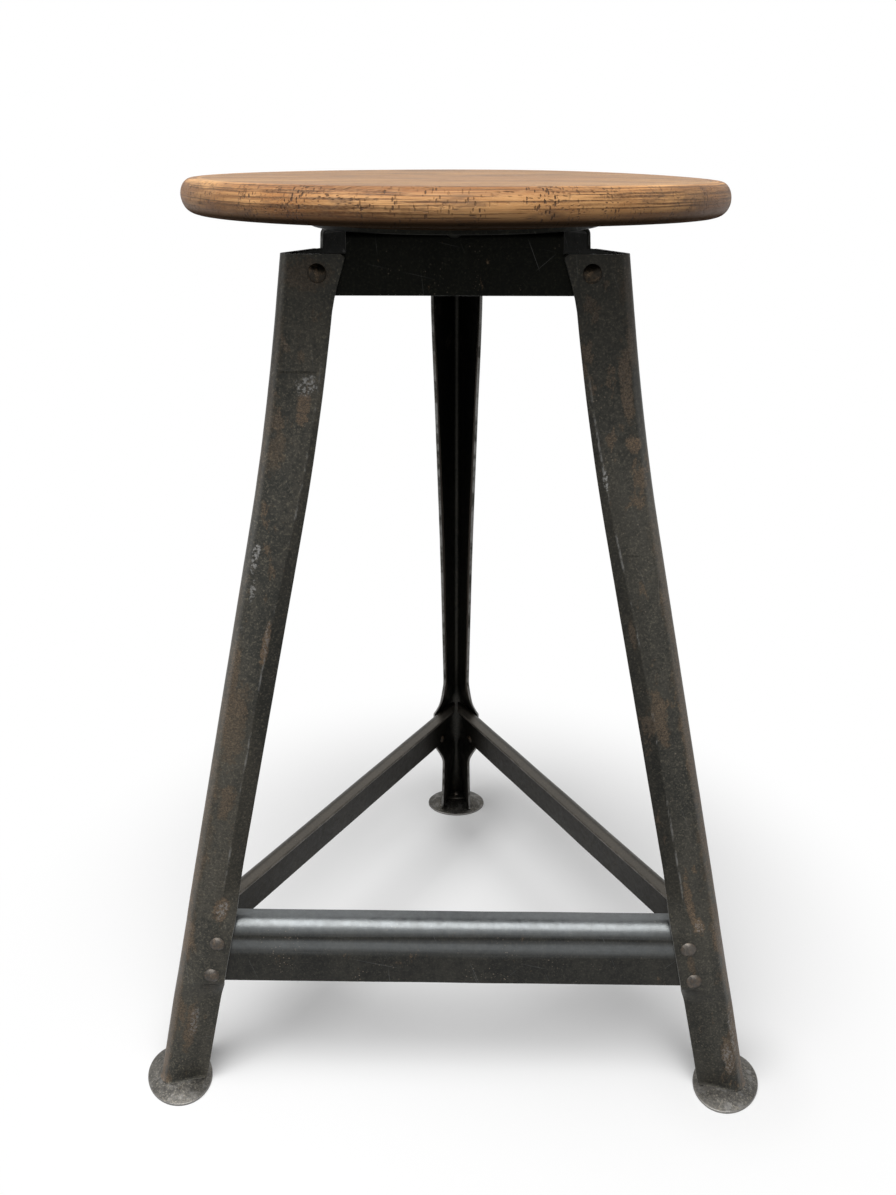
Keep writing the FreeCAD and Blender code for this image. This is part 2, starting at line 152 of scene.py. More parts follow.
def ramp(value, low, high, start=0.0, end=1.0):
    """From start at low to end at high, smooth between; low and high may be swapped to turn it round."""
    if low > high:
        low, high, start, end = high, low, end, start
    sockets = {"Value": value, "From Min": low, "From Max": high, "To Min": start, "To Max": end}
    return add(tree_of(value), "MapRange", sockets, interpolation_type="SMOOTHSTEP").outputs[0]


def times(a, b):
    return reckon("MULTIPLY", a, b)


def distance(place, middle):
    return add(tree_of(place), "VectorMath", {0: place, 1: middle}, operation="DISTANCE").outputs["Value"]


def blend(share, first, second, mode="MIX"):
    """Two colours mixed by a share; the sockets 6, 7 and 2 of the node are its colours."""
    return add(tree_of(share, first, second), "Mix", {"Factor": share, 6: first, 7: second},
               data_type="RGBA", blend_type=mode).outputs[2]


def paper_glow(seen):
    """How much of the paper is plain white: all of it far out, less near the stool and at each foot, and a
    painted pool of light lifts the shadow under the stool's middle.
    """
    spot = add(tree_of(seen), "TexCoord").outputs["Object"]
    reach = distance(spot, shadow_middle)
    far = ramp(reach, *shadow_ends, start=shadow_white)
    # Painted light: a pool of glow that lightens the shadow under the stool's middle.
    near = ramp(reach, 0.0, under_stool_light_reach, start=under_stool_painted_light, end=0.0)
    clear_of_feet = None
    for foot in ("foot_rear", "foot_front_left", "foot_front_right"):
        low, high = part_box(foot)
        middle = ((low.x + high.x) / 2, (low.y + high.y) / 2, 0.0)
        clear = ramp(distance(spot, middle), *foot_shadow_ends, start=foot_shadow_white)
        if clear_of_feet:
            clear = reckon("MINIMUM", clear_of_feet, clear)
        clear_of_feet = clear
    return times(times(larger(far, near), clear_of_feet), seen)


floor_mesh = bpy.data.meshes.new("white_paper_floor")
floor_corners = [(-floor_reach, -floor_reach, 0.0), (floor_reach, -floor_reach, 0.0),
                 (floor_reach, floor_reach, 0.0), (-floor_reach, floor_reach, 0.0)]
floor_mesh.from_pydata(floor_corners, [], [(0, 1, 2, 3)])
floor = bpy.data.objects.new("white_paper_floor", floor_mesh)
paper = bpy.data.materials.new("white_paper")
paper.use_nodes = True
tree = paper.node_tree
tree.nodes.clear()
seen = seen_rays(tree)
sheet_face = add(tree, "BsdfDiffuse", {"Color": blend(seen, paper_unseen, paper_seen)})
sheet_glow = add(tree, "Emission", {"Color": pure_white, "Strength": 1.0})
laid = add(tree, "MixShader", {0: paper_glow(seen), 1: sheet_face.outputs[0], 2: sheet_glow.outputs[0]})
add(tree, "OutputMaterial", {"Surface": laid.outputs[0]})
floor_mesh.materials.append(paper)
bpy.context.scene.collection.objects.link(floor)


# Seat.
# A round board of honey-brown open-pored hardwood, grain left to right, turned with a bullnose rim
# and a shallow boss below. Its varnish is rubbed dull and its rim is knocked, stained and checked.
# Shade is painted into the wood's colour on the rim's lower side, at the rim's two ends and on the
# underside.
seat_radius = (seat_high.x - seat_low.x) * 500
seat_top = seat_high.z * 1000
board_thickness = 20.0
boss_radius = 100.0
boss_depth = 6.0
boss_corner = 1.6
rim_widest_drop = 10.0
rim_top_rounding = 7.5
rim_bottom_rounding = 9.0
right_edge_drop = 2.6
seat_steps = 288

honey = (0.70, 0.385, 0.160, 1.0)
dark_honey = (0.42, 0.185, 0.060, 1.0)
band_brown = (0.20, 0.078, 0.024, 1.0)
line_brown = (0.088, 0.034, 0.011, 1.0)
fibre_yellow = (0.66, 0.40, 0.18, 1.0)
stain_brown = (0.10, 0.052, 0.030, 1.0)
rim_stain_brown = (0.105, 0.056, 0.034, 1.0)
rim_end_shade_brown = (0.12, 0.058, 0.024, 1.0)
low_rim_shade_brown = (0.075, 0.032, 0.012, 1.0)
pore_brown = (0.050, 0.022, 0.010, 1.0)
check_brown = (0.040, 0.018, 0.009, 1.0)
underside_shade_brown = (0.020, 0.012, 0.006, 1.0)
rubbed_grey = (0.20, 0.145, 0.090, 1.0)


def new_piece(name, points, faces, material, nodes, marks=None):
    """A mesh piece in millimetres about the seat's axis, shown in place of its CAD nodes."""
    mesh = bpy.data.meshes.new(name)
    mesh.from_pydata([(x / 1000, y / 1000 + axis_y, z / 1000) for x, y, z in points], [], faces)
    mesh.polygons.foreach_set("use_smooth", [True] * len(mesh.polygons))
    mesh.materials.append(material)
    if marks:
        strip = mesh.attributes.new("strip", "FLOAT_VECTOR", "POINT")
        strip.data.foreach_set("vector", [v for mark in marks for v in mark])
    piece = bpy.data.objects.new(name, mesh)
    bpy.context.scene.collection.objects.link(piece)
    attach(piece, "root")
    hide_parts(*nodes)
    return piece


def join_rows(rows, other_way=False):
    """Faces between each ring of points and the next; a ring of one point closes the skin."""
    faces = []
    for one, two in zip(rows, rows[1:]):
        count = max(len(one), len(two))
        for k in range(count):
            n = (k + 1) % count
            around = (one[k % len(one)], two[k % len(two)], two[n % len(two)], one[n % len(one)])
            face = tuple(dict.fromkeys(around))
            faces.append(face[:1] + face[:0:-1] if other_way else face)
    return faces


def new_material(name):
    """A material cleared to one surface shader and its output."""
    material = bpy.data.materials.new(name)
    material.use_nodes = True
    tree = material.node_tree
    tree.nodes.clear()
    surface = add(tree, "BsdfPrincipled")
    add(tree, "OutputMaterial", {"Surface": surface.outputs[0]})
    return material, tree, surface


def plus(a, b):
    return reckon("ADD", a, b)


def size_of(value):
    return reckon("ABSOLUTE", value)


def stretched(place, scale):
    return add(tree_of(place), "Mapping", {"Vector": place, "Scale": scale}).outputs[0]


def speckle(place, scale, detail=3.0, roughness=0.55, stretch=None):
    """Cloudy noise from 0 to 1; stretch gives each axis a scale of its own."""
    if stretch:
        place = stretched(place, stretch)
    return add(tree_of(place), "TexNoise", {"Vector": place, "Scale": scale, "Detail": detail,
                                            "Roughness": roughness}).outputs[0]


def dots(place, scale, edge, middle):
    """Small round dots at random, 1 inside middle and 0 outside edge."""
    cells = add(tree_of(place), "TexVoronoi", {"Vector": place, "Scale": scale, "Randomness": 1.0})
    return ramp(cells.outputs["Distance"], edge, middle)


def bumped(surface, height, depth, strength=1.0):
    bump = add(tree_of(height), "Bump", {"Height": height, "Distance": depth, "Strength": strength})
    surface.id_data.links.new(bump.outputs[0], surface.inputs["Normal"])


def strip_place(place):
    """The three measures that a mesh carries at each point for its finish."""
    carried = add(tree_of(place), "Attribute", attribute_name="strip").outputs["Vector"]
    return add(tree_of(place), "SeparateXYZ", {"Vector": carried}).outputs


def seat_profile():
    """From the middle of the top, out over the rim and back under to the middle of the boss."""
    turn = math.pi / 2
    top_edge = seat_radius - rim_top_rounding
    low_edge = seat_radius - rim_bottom_rounding
    widest = seat_top - rim_widest_drop
    low = board_thickness - rim_widest_drop
    out = [(top_edge * i / 8, seat_top) for i in range(8)]
    out += [(top_edge + rim_top_rounding * math.sin(turn * i / 10),
             widest + rim_widest_drop * math.cos(turn * i / 10)) for i in range(11)]
    out += [(low_edge + rim_bottom_rounding * math.cos(turn * i / 9),
             widest - low * math.sin(turn * i / 9)) for i in range(1, 10)]
    under = seat_top - board_thickness
    boss_bottom = under - boss_depth
    out += [(boss_radius + 3.0, under), (boss_radius + 0.6, under - 0.5),
            (boss_radius, under - boss_corner), (boss_radius, boss_bottom + boss_corner),
            (boss_radius - boss_corner, boss_bottom)]
    out += [(boss_radius / 2, boss_bottom), (0.0, boss_bottom)]
    return out


def rim_knock(angle, radius, height):
    """How far small knocks and years of hands have taken the rim back."""
    on_rim = max(0.0, 1 - abs(radius - seat_radius) / 9)
    place = Vector((math.sin(angle) * 9, math.cos(angle) * 9, height * 0.12))
    knock = max(0.0, noise.noise(place * 3.1)) ** 2
    return on_rim * (0.25 + 0.25 * noise.noise(place) + 1.3 * knock)


def board_sag(x, height):
    """The board has warped down at the right, its boss held flat by the steel below."""
    free = min(1.0, max(0.0, (height - seat_top + board_thickness + boss_depth) / boss_depth))
    return free * right_edge_drop * max(0.0, x / seat_radius) ** 2.4


def make_seat(material):
    points, marks, rows = [], [], []
    along = 0.0
    last = None
    for radius, height in seat_profile():
        if last:
            along += math.hypot(radius - last[0], height - last[1])
        last = (radius, height)
        start = len(points)
        for k in range(seat_steps if radius > 0.0 else 1):
            angle = 2 * math.pi * k / seat_steps
            out = radius - rim_knock(angle, radius, height)
            x = out * math.sin(angle)
            points.append((x, -out * math.cos(angle), height - board_sag(x, height)))
            marks.append((math.sin(angle) * seat_radius, along, math.cos(angle) * seat_radius))
        rows.append(range(start, len(points)))
    return new_piece("seat_wood", points, join_rows(rows), material, ["seat_board"], marks)


def worn_hardwood():
    """The seat's mesh carries the run from its middle, which tells the top, the rim and the underside."""
    material, tree, surface = new_material("worn_hardwood")
    place = add(tree, "TexCoord").outputs["Object"]
    around_x, along, around_y = (strip_place(place)[i] for i in range(3))
    near_rim = ramp(along, seat_radius - 24.0, seat_radius - 8.0)
    on_rim = times(ramp(along, seat_radius - 9.0, seat_radius - 4.0),
                   ramp(along, seat_radius + 22.0, seat_radius + 18.0))
    # Painted shade: the rim darkens towards its lower side.
    shaded_low_rim = ramp(along, seat_radius + 5.0, seat_radius + 13.0)
    # Painted shade: the underside below the rim is darkened almost to black.
    below = ramp(along, seat_radius + 11.0, seat_radius + 15.5)

    # The grain runs left to right and wavers; round the rim it is seen as lines along the girth.
    wobble = speckle(place, 1.0, 2.0, stretch=(3.0, 12.0, 12.0))
    shift = add(tree, "CombineXYZ", {"Y": times(wobble, 0.020), "Z": times(wobble, 0.006)}).outputs[0]
    bent = add(tree, "VectorMath", {0: place, 1: shift}, operation="ADD").outputs[0]
    girth = add(tree, "CombineXYZ", {"X": around_x, "Y": around_y, "Z": times(along, 0.40)}).outputs[0]
    bands = blend(near_rim, speckle(bent, 1.0, 3.0, 0.6, stretch=(3.0, 120.0, 170.0)),
                  speckle(girth, 1.0, 3.0, 0.6, stretch=(0.007, 0.007, 0.50)))
    lines = blend(near_rim, speckle(bent, 1.0, 4.0, 0.65, stretch=(7.0, 480.0, 620.0)),
                  speckle(girth, 1.0, 5.0, 0.72, stretch=(0.010, 0.010, 1.75)))
    fibre = speckle(bent, 1.0, 3.0, 0.6, stretch=(40.0, 1500.0, 1500.0))
    tone = speckle(place, 1.0, 3.0, 0.6, stretch=(7.0, 26.0, 40.0))

    # Stains, open pores on the top, and short checks across the rim.
    stain = ramp(speckle(place, 1.0, 4.0, 0.65, stretch=(11.0, 20.0, 60.0)), 0.55, 0.66)
    rim_stain = ramp(speckle(girth, 1.0, 4.0, 0.65, stretch=(0.022, 0.022, 0.20)), 0.54, 0.64)
    pore_area = ramp(speckle(place, 1.0, 2.0, stretch=(50.0, 150.0, 150.0)), 0.46, 0.64)
    pore = times(dots(stretched(place, (150.0, 900.0, 900.0)), 1.0, 0.36, 0.20), pore_area)
    check_area = ramp(speckle(girth, 0.055, 3.0, 0.6), 0.44, 0.60)
    check = times(times(dots(girth, 0.62, 0.36, 0.20), check_area), on_rim)
    # Painted shade at the rim's left and right ends.
    shaded_rim_ends = times(ramp(size_of(around_x), 95.0, 165.0), ramp(along, seat_radius - 8.0, seat_radius))

    colour = blend(ramp(tone, 0.32, 0.66), dark_honey, honey)
    for share, most, brown in ((ramp(bands, 0.44, 0.58), 0.75, band_brown),
                               (ramp(lines, 0.50, 0.585), 0.92, line_brown),
                               (times(rim_stain, near_rim), 0.60, rim_stain_brown),
                               (ramp(fibre, 0.40, 0.70), 0.25, fibre_yellow),
                               (stain, 0.62, stain_brown),
                               (pore, 0.75, pore_brown),
                               (check, 0.85, check_brown),
                               (shaded_low_rim, 0.65, low_rim_shade_brown),
                               (below, 0.92, underside_shade_brown),
                               (shaded_rim_ends, 0.60, rim_end_shade_brown),
                               (ramp(along, seat_radius - 6.0, seat_radius - 14.0), 0.38, rubbed_grey)):
        colour = blend(times(share, most), colour, brown)
    tree.links.new(colour, surface.inputs["Base Color"])
    dull = add(tree, "MapRange", {"Value": tone, "To Min": 0.46, "To Max": 0.64}).outputs[0]
    tree.links.new(plus(dull, times(below, 0.25)), surface.inputs["Roughness"])
    shine = plus(1.0, times(below, -0.85))
    tree.links.new(times(shine, 0.30), surface.inputs["Specular IOR Level"])
    sunk = times(larger(pore, check), -1.2)
    relief = plus(times(fibre, 0.2), plus(times(lines, 0.4), sunk))
    bumped(surface, relief, 0.0005)
    return material


make_seat(worn_hardwood())


# Seat plate, with its wood screws and the flange rivets.
# A steel disc screwed up into the boss; the aprons' flanges are riveted under it. It is painted
# black like the aprons, and hardly seen but for its front edge. The aprons' near-black also carries
# painted shade.
dark_rust = (0.060, 0.037, 0.019, 1.0)
light_rust = (0.185, 0.120, 0.066, 1.0)
chip_brown = (0.27, 0.22, 0.17, 1.0)
darkening_tint = (0.10, 0.10, 0.09, 1.0)
scratch_families = ((0.35, 9.0, 800.0, 0.60), (-0.9, 15.0, 1100.0, 0.45),
                    (1.35, 12.0, 950.0, 0.40), (0.05, 7.0, 700.0, 0.50))


def scratched(place, most):
    """Fine scratches in families, each with its turn, the scales along and across it, and its share."""
    found = None
    for turn, length, width, share in scratch_families:
        turned = add(tree_of(place), "Mapping", {"Vector": place, "Rotation": (0.2, turn, 0.4)}).outputs[0]
        lines = speckle(turned, 1.0, 2.0, 0.5, stretch=(width, width * 0.12, length))
        scratch = times(ramp(lines, 0.715, 0.765), share * most)
        found = larger(found, scratch) if found else scratch
    return found


def sheet_steel(name, deep, light, rough, rusty=None, worn=None, darkening=None,
                flecks=0.5, scratches=1.0, grain=1.0, bare_tone=(0.33, 0.325, 0.315)):
    """Blue-black sheet steel in two tones; the three functions give the share of rust, of bare steel and of
    a darker tint at a place. The bare steel also carries painted light on the legs and rails, and the darker
    tint carries painted shade.
    """
    material, tree, surface = new_material(name)
    place = add(tree, "TexCoord").outputs["Object"]
    cloud = speckle(place, 28.0, 4.0, 0.6, stretch=(1.0, 1.0, 0.35))
    mottle = speckle(place, 210.0, 4.0, 0.65)
    pits = speckle(place, 620.0, 5.0, 0.80)
    grit = speckle(place, 1100.0, 3.0, 0.6)

    mixed = plus(times(cloud, 0.55), times(mottle, 0.45))
    colour = blend(ramp(mixed, 0.38, 0.62), (*deep, 1.0), (*light, 1.0))
    raised = (light[0] * 2.5, light[1] * 2.4, light[2] * 2.15, 1.0)
    colour = blend(times(ramp(pits, 0.52, 0.64), 0.85 * grain), colour, raised)
    pitted = (deep[0] * 0.45, deep[1] * 0.45, deep[2] * 0.42, 1.0)
    colour = blend(times(ramp(pits, 0.47, 0.36), 0.55 * grain), colour, pitted)

    flakes = speckle(place, 90.0, 6.0, 0.72, stretch=(1.0, 1.0, 0.5))
    rust = times(ramp(flakes, 0.63, 0.70), 0.45)
    if rusty:
        rust = larger(rust, rusty(place))
    rust = times(rust, plus(0.45, times(ramp(pits, 0.38, 0.56), 0.55)))
    colour = blend(rust, colour, blend(ramp(grit, 0.35, 0.65), dark_rust, light_rust))
    chip_area = ramp(speckle(place, 55.0, 4.0, 0.65), 0.52, 0.68)
    chips = times(dots(place, 420.0, 0.24, 0.12), chip_area)
    colour = blend(times(chips, flecks), colour, chip_brown)

    bare = scratched(place, scratches)
    if worn:
        bare = larger(bare, worn(place))
    colour = blend(bare, colour, (*bare_tone, 1.0))
    # Painted shade: a darker tint multiplied in where a finish asks for it.
    if darkening:
        darker = blend(1.0, colour, darkening_tint, mode="MULTIPLY")
        colour = blend(darkening(place), colour, darker)

    tree.links.new(colour, surface.inputs["Base Color"])
    tree.links.new(times(ramp(rust, 0.9, 0.1), 0.90), surface.inputs["Metallic"])
    dull = add(tree, "MapRange", {"Value": mottle, "From Min": 0.3, "From Max": 0.7,
                                  "To Min": rough - 0.06, "To Max": rough + 0.10}).outputs[0]
    dull = plus(dull, times(rust, 0.25))
    tree.links.new(plus(dull, times(bare, -0.08)), surface.inputs["Roughness"])
    fine = plus(times(grit, 0.22), times(rust, 0.6))
    bumped(surface, plus(times(mottle, 0.45), fine), 0.0003, 0.6)
    return material


def dress(names, material):
    """One finish for pieces shown as the CAD has them."""
    for name in names:
        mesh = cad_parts[name].data
        mesh.materials.clear()
        mesh.materials.append(material)
        mesh.polygons.foreach_set("material_index", [0] * len(mesh.polygons))


black_steel = sheet_steel("black_steel", (0.004, 0.004, 0.003), (0.008, 0.008, 0.006), 0.50,
                          flecks=0.12, scratches=0.15)
dress(["seat_plate", "seat_screws", "apron_flange_rivets"], black_steel)


# Aprons.
# Three side plates pressed from the same sheet, leaning out with the legs, a flange turned in at
# the top of each for the seat plate and a tab at each end that goes behind a leg.
sheet = 2.5
apron_slope = 0.08
apron_plane_at_floor = 111.504
apron_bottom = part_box("apron_front")[0].z * 1000
apron_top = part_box("apron_front")[1].z * 1000
apron_half_width = 66.5
apron_tab_half_width = 93.0
apron_tab_corner = 5.0
apron_tab_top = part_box("leg_rear")[1].z * 1000
apron_tab_step = 0.05
apron_bend = 5.0
apron_flange_inner = 40.0
apron_flange_end_inset = 13.5


def spun(x, y, z, degrees):
    """A point of a piece at the rear or the front, turned about the seat's axis to its own side."""
    turn = math.radians(degrees)
    return x * math.cos(turn) - y * math.sin(turn), x * math.sin(turn) + y * math.cos(turn), z


def sheet_angle(bottom, top, plane, slope, inner, bend, extra=()):
    """A bent sheet seen from its end: points (out, height, direction of its face, run along the face)."""
    lean = math.atan(slope)
    face = (math.cos(lean), math.sin(lean))
    hub_height = top - bend
    hub_out = plane - slope * hub_height - bend / math.cos(lean)
    wall_end = hub_height + bend * math.sin(lean)
    heights = [bottom, bottom + 0.12, bottom + 0.45, bottom + 1.3]
    heights += sorted(list(extra) + [bottom + (wall_end - bottom) * i / 8 for i in range(1, 8)])
    path = [(plane - slope * z, z, face, z - wall_end) for z in heights]
    turns = 12
    for i in range(turns + 1):
        angle = lean + (math.pi / 2 - lean) * i / turns
        face = (math.cos(angle), math.sin(angle))
        path.append((hub_out + bend * face[0], hub_height + bend * face[1], face, bend * (angle - lean)))
    bend_end = path[-1][3]
    outs = [hub_out + (inner - hub_out) * i / 3 for i in (1, 2)]
    outs += [inner + 1.3, inner + 0.45, inner + 0.12, inner]
    return path + [(out, top, (0.0, 1.0), bend_end + hub_out - out) for out in outs]


def bent_sheet(name, path, end_at, degrees, material, nodes, dents):
    """The angle run along its length to where end_at says, with its edges rounded over.

    Each point is marked for its finish: 0 on the outer face, 0.5 on the inner one and 1 at an edge.
    """
    last = len(path) - 1
    soft = {0: 0.45, 1: 0.12, last - 1: 0.12, last: 0.45}
    ring = []
    for way, order in ((1, range(last + 1)), (-1, range(last, -1, -1))):
        for k in order:
            out, z, face, run = path[k]
            depth = soft.get(k, 0.0) if way == 1 else sheet - soft.get(k, 0.0)
            mark = 1.0 if k in soft else 0.0 if way == 1 else 0.5
            ring.append((out - face[0] * depth, z - face[1] * depth, face, run, mark, way, end_at(out, z)))
    ends = [(1, 0.0, 0.45), (1, 0.12, 0.12), (1, 0.45, 0.0), (1, 1.3, 0.0)]
    stations = [(-side, back, inset) for side, back, inset in ends]
    stations += [(t / 14, 0.0, 0.0) for t in range(-13, 14)]
    stations += list(reversed(ends))
    points, marks, rows = [], [], []
    for side, back, inset in stations:
        for out, z, face, run, mark, way, reach in ring:
            x = side * (reach - back)
            bow = dents * noise.noise(Vector((x * 0.02, run * 0.05, degrees)))
            inward = inset * way + bow
            points.append(spun(x, face[0] * inward - out, z - face[1] * inward, degrees))
            marks.append((x, run, 1.0 if inset else mark))
        rows.append(range(len(points) - len(ring), len(points)))
    faces = join_rows(rows)
    for row, order in ((rows[0], 1), (rows[-1], -1)):
        for k in range(last):
            faces.append((row[k], row[k + 1], row[-2 - k], row[-1 - k])[::order])
    return new_piece(name, points, faces, material, nodes, marks)


def apron_end(out, z):
    """Half the plate's length at one place: the flange is cut back slanting, the tabs have cut corners."""
    if z > apron_tab_top + 0.01:
        return min(apron_half_width, apron_flange_end_inset + out)
    return min(apron_tab_half_width, apron_tab_half_width + z - apron_bottom - apron_tab_corner)


def cut_edge(mark):
    """1 on the edges of a bent sheet, which its mesh marks 1, and 0 on its faces."""
    return ramp(mark, 0.7, 1.0)


def apron_edges(place):
    """Paint rubbed off along the cut edges."""
    mark = strip_place(place)[2]
    ragged = ramp(speckle(place, 70.0, 4.0, 0.6), 0.40, 0.60)
    return times(times(cut_edge(mark), ragged), 0.30)


# The aprons' near-black is partly their black paint and partly painted shade under the seat.
apron_black_and_shade_steel = sheet_steel("apron_black_and_shade_steel", (0.0022, 0.0024, 0.0016), (0.0046, 0.0048, 0.0034), 0.52,
                          worn=apron_edges, flecks=0.15, scratches=0.25)
apron_path = sheet_angle(apron_bottom, apron_top, apron_plane_at_floor, apron_slope, apron_flange_inner,
                         apron_bend, extra=(apron_tab_top - apron_tab_step, apron_tab_top + apron_tab_step))
for side, degrees in (("front", 0.0), ("right", 120.0), ("left", 240.0)):
    bent_sheet("apron_" + side + "_plate", apron_path, apron_end, degrees, apron_black_and_shade_steel,
               ["apron_" + side], dents=0.15)


# Legs.
# Each leg is one strip folded to a V. The V closes on the way down, is pressed open again into
# two ears that lie flat on the stretchers, and rounds out over the foot, where a tab is turned in.
# The outside is rubbed brown along the fold and the hollow is darkened. Shade under the seat and on
# the flanges' far halves is painted into the colour, and so is light beside the fold, along the ears'
# edges and on the bumps beside them; the right leg's steel is painted darker as shade.
leg_top = apron_tab_top
leg_top_corner = 3.0
leg_flat_head = leg_top - 29.3
leg_curve_end = leg_flat_head - 140.0
closing_from = leg_flat_head - 30.0
closing_rate = 0.0277
leg_slope = 0.123
head_plane_at_floor = apron_plane_at_floor + sheet
leg_distance_at_floor = 136.07
half_angle_open = 30.0
half_angle_closed = 17.0
fold_radius = 6.0
flange_width = 29.6
flange_more_at_top = 5.0

ear_start = 171.0
ear_top = 143.0
ear_bottom = 97.5
ear_end = 76.0
ear_fold_radius = 12.5
ear_flange_width = 25.0
ear_lift = 2.85

sole_half_angle = 12.0
sole_fold_radius = 12.0
sole_flange_width = 22.0
sole_fold_back = 18.93

lip_turned = math.radians(16.0)
lip_narrow = 3.0
lip_wider = 8.0
lip_widest_at = 300.0
lip_narrow_at = 565.0
lip_begins = (575.0, 480.0)
lip_ends = (163.0, 190.0)
crease_half_width = 0.7
crease_wear_at = 33.2
crease_wear = (1.1, 0.3)
lip_wear_from = (32.6, 34.2)
lip_wear_begins = (575.0, 500.0)
lip_wear_ends = (158.0, 178.0)

foot_centre = 250.0
foot_half_length = 24.5
foot_half_width = 31.0
foot_rim = 1.6
foot_crown = 6.4
gap_to_foot = 0.02
tab_top = 9.0
tab_half_width = 10.5
tab_inner_end = 246.5
tab_edge = 0.6
tab_mark = 0.36


def leg_line(z):
    """How far out the leg's middle line is: straight with the apron, a curve, then straight to the floor."""
    if z >= leg_flat_head:
        return head_plane_at_floor - apron_slope * z
    if z <= leg_curve_end:
        return leg_distance_at_floor - leg_slope * z
    length = leg_flat_head - leg_curve_end
    u = (leg_flat_head - z) / length
    start = head_plane_at_floor - apron_slope * leg_flat_head
    end = leg_distance_at_floor - leg_slope * leg_curve_end
    swing = u * (1 - u) ** 2 * apron_slope * length - u * u * (1 - u) * leg_slope * length
    return start + u * u * (3 - 2 * u) * (end - start) + swing


def ear_open(z):
    """Slow at first, fastest where the ear reaches the stretchers."""
    above = (ear_start - z) / (ear_start - ear_top)
    below = (z - ear_end) / (ear_bottom - ear_end)
    return max(0.0, min(1.0, above, below)) ** 2


def leg_section(z):
    """Fold centre, half angle of the V, flat length and fold radius at one height."""
    here = leg_line(z)
    half = max(half_angle_open - closing_rate * max(0.0, closing_from - z), half_angle_closed)
    centre = 2 * here - 2 * fold_radius
    flat = flange_width
    bend = fold_radius
    if z > leg_flat_head:
        flat += flange_more_at_top * (z - leg_flat_head) / (leg_top - leg_flat_head)
    if z < ear_end:
        share = 1 - z / ear_end
        half += share * (sole_half_angle - half)
        bend += share * (sole_fold_radius - bend)
        flat += share * (sole_flange_width - flat)
        centre += share * (2 * here - sole_fold_back - centre)
    opened = ear_open(z)
    centre += opened * (2 * (here + ear_lift) - 2 * ear_fold_radius - centre)
    half += opened * (half_angle_open - half)
    flat += opened * (ear_flange_width - flat)
    bend += opened * (ear_fold_radius - bend)
    return centre, math.radians(half), flat, bend


def eased(value, low, high):
    """0 at low, 1 at high and smooth between, either way round."""
    share = min(1.0, max(0.0, (value - low) / (high - low)))
    return share * share * (3 - 2 * share)


def leg_ring(z):
    """The strip's outline at one height: points, each one's place across the strip, and its mark."""
    centre, half, flat, bend = leg_section(z)
    near_top = leg_top - z
    if near_top < leg_top_corner:
        flat -= leg_top_corner - math.sqrt(max(0.0, leg_top_corner ** 2 - (leg_top_corner - near_top) ** 2))
    lip = lip_narrow + lip_wider * eased(z, lip_narrow_at, lip_widest_at)
    lip_turn = lip_turned * eased(z, *lip_begins) * eased(z, *lip_ends)
    crease = flat - lip
    away = (math.cos(half), math.sin(half))
    along = (math.sin(half), -math.cos(half))
    lip_along = (along[0] * math.cos(lip_turn) - away[0] * math.sin(lip_turn),
                 along[1] * math.cos(lip_turn) - away[1] * math.sin(lip_turn))
    arc = math.pi / 2 - half
    ring = []

    def flat_point(side, depth, d, mark):
        past = max(0.0, d - crease)
        through = (d - crease + crease_half_width) / (2 * crease_half_width)
        turned = lip_turn * min(1.0, max(0.0, through))
        face = (away[0] * math.cos(turned) + along[0] * math.sin(turned),
                away[1] * math.cos(turned) + along[1] * math.sin(turned))
        x = away[0] * bend + along[0] * min(d, crease) + lip_along[0] * past - face[0] * depth
        y = centre + away[1] * bend + along[1] * min(d, crease) + lip_along[1] * past - face[1] * depth
        ring.append((side * x, y, side * (d + arc * bend), mark))

    def arc_point(depth, angle, mark):
        x = math.sin(angle) * (bend - depth)
        y = centre + math.cos(angle) * (bend - depth)
        ring.append((x, y, angle * bend, mark))

    flats = [crease * i / 4 for i in range(1, 4)] + [crease - crease_half_width, crease + crease_half_width]
    flats += [crease + lip * i / 3 for i in range(1, 4)]
    turns = [arc * (i / 8 - 1) for i in range(17)]
    edge = ((0.25, 0.45), (sheet / 2, 0.6), (sheet - 0.25, 0.45))
    for d in reversed(flats):
        flat_point(-1, 0.0, d, 0.0)
    for angle in turns:
        arc_point(0.0, angle, 0.0)
    for d in flats:
        flat_point(1, 0.0, d, 0.0)
    for depth, more in edge:
        flat_point(1, depth, flat + more, 1.0)
    for d in reversed(flats):
        flat_point(1, sheet, d, 0.5)
    for angle in reversed(turns):
        arc_point(sheet, angle, 0.5)
    for d in flats:
        flat_point(-1, sheet, d, 0.5)
    for depth, more in reversed(edge):
        flat_point(-1, depth, flat + more, 1.0)
    return ring


def foot_top(x, y):
    """Height of the domed foot under a point, with the foot at the rear corner."""
    rise = foot_crown - foot_rim
    ball = (foot_half_width ** 2 + rise ** 2) / (2 * rise)
    out = x * x + (y - foot_centre) ** 2
    return foot_crown - ball + math.sqrt(max(0.0, ball ** 2 - out))


def leg_heights():
    """From the top down, close together at the top edge and at the ears."""
    out = [leg_top - drop for drop in (0.0, 0.3, 0.9, 1.8, 3.0, 6.0)]
    z = leg_top - 10.0
    while z > 10.0:
        out.append(z)
        z -= 2.0 if 70.0 < z < 175.0 else 8.0
    return out + [8.0, 0.0]


def pressed_in(blow, across, z):
    """How far a blow beside the joint has pushed the flange in: its place, height, reach and depth."""
    if not blow:
        return 0.0
    at_across, at_height, reach, depth = blow
    away = math.hypot(across - at_across, (z - at_height) * 0.8) / reach
    return depth * math.exp(-away * away * 2.2)


